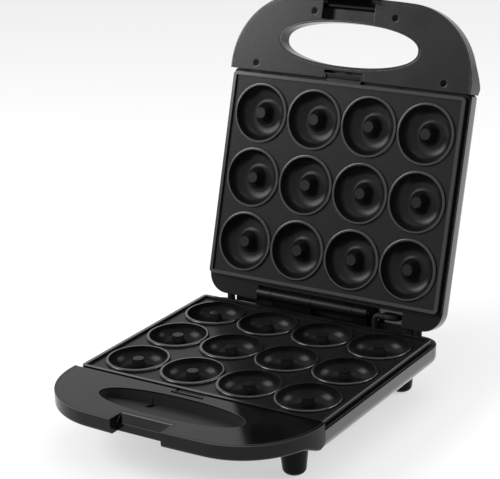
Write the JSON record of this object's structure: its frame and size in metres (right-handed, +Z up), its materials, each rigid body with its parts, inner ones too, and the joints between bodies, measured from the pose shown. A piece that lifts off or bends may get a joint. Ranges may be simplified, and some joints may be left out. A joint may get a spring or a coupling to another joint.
{
  "type": "electric donut maker",
  "caption": "Clamshell electric donut maker with hinged, heated ring-mould plates, a hand-hole handle with a latch, spring plate clips and feet.",
  "frame": {"origin": "centre of the four feet, on the surface they stand on", "axes": "+Z up, +X to the right seen from the handle side, +Y from the handle to the hinge"},
  "size_m": [0.2304, 0.3432, 0.3155],
  "materials": {
    "shell_black": "gloss",
    "handle_black": "satin",
    "face_black": "satin",
    "nonstick": "satin non-stick coating",
    "pan_metal": "matte",
    "heater_steel": "dull",
    "steel": "satin",
    "hinge_black": "satin",
    "insulator": "matte",
    "wire_sleeve": "matte",
    "lead_insulation": "matte",
    "rubber_black": "matte",
    "lens_red": "gloss",
    "lens_green": "gloss",
    "bulb_glass": "clear",
    "board_green": "satin",
    "fuse_brass": "satin"
  },
  "bodies": {
    "base": {"base_housing": "shell_black", "base_handle": "handle_black", "base_handle_face": "face_black", "base_plate": "nonstick", "base_heat_pan": "pan_metal", "base_heater": "heater_steel", "base_heater_straps": "steel", "base_heater_bushings": "insulator", "base_clip_spring": "steel", "base_handle_bolts": "steel", "base_face_screws": "steel", "base_pan_screws": "steel", "feet": "handle_black", "foot_screws": "steel", "cord_gland": "rubber_black", "terminal_block": "insulator", "thermostat": "steel", "base_leads": "lead_insulation", "base_harness": "wire_sleeve", "base_hinge_bracket": "hinge_black", "base_hinge_screws": "steel", "hinge_pin": "steel", "lid_stop_pads": "rubber_black"},
    "base_clip": {"base_plate_clip": "shell_black"},
    "lid": {"lid_housing": "shell_black", "lid_handle": "handle_black", "lid_handle_face": "face_black", "lid_plate": "nonstick", "lid_heat_pan": "pan_metal", "lid_heater": "heater_steel", "lid_heater_straps": "steel", "lid_heater_bushings": "insulator", "lid_clip_spring": "steel", "lid_handle_bolts": "steel", "lid_face_screws": "steel", "lid_pan_screws": "steel", "lid_hinge_bracket": "hinge_black", "lid_hinge_screws": "steel", "power_lamp_lens": "lens_red", "ready_lamp_lens": "lens_green", "lamp_bulbs": "bulb_glass", "lamp_board": "board_green", "thermal_fuse": "fuse_brass", "lid_leads": "lead_insulation", "lid_harness": "wire_sleeve", "latch_pin": "steel"},
    "lid_clip": {"lid_plate_clip": "shell_black"},
    "latch": {"latch": "shell_black"}
  },
  "joints": [
    {"name": "lid_hinge", "type": "hinge", "parent": "base", "child": "lid", "pos_m": [0, 0.0986, 0.0564], "axis": [1, 0, 0], "range_deg": [0, 106.9]},
    {"name": "latch_pivot", "type": "hinge", "parent": "lid", "child": "latch", "pos_m": [-0.006, 0.17353, 0.29889], "axis": [1, 0, 0], "range_deg": [0, 24]},
    {"name": "base_clip_slide", "type": "slide", "parent": "base", "child": "base_clip", "axis": [0, -1, 0], "range_m": [0, 0.0022], "stiffness_N_per_m": 600, "springref_m": -0.001, "deforming": ["base_clip_spring"]},
    {"name": "lid_clip_slide", "type": "slide", "parent": "lid", "child": "lid_clip", "axis": [0, 0.2907, 0.9568], "range_m": [0, 0.0022], "stiffness_N_per_m": 600, "springref_m": -0.001, "deforming": ["lid_clip_spring"]}
  ]
}
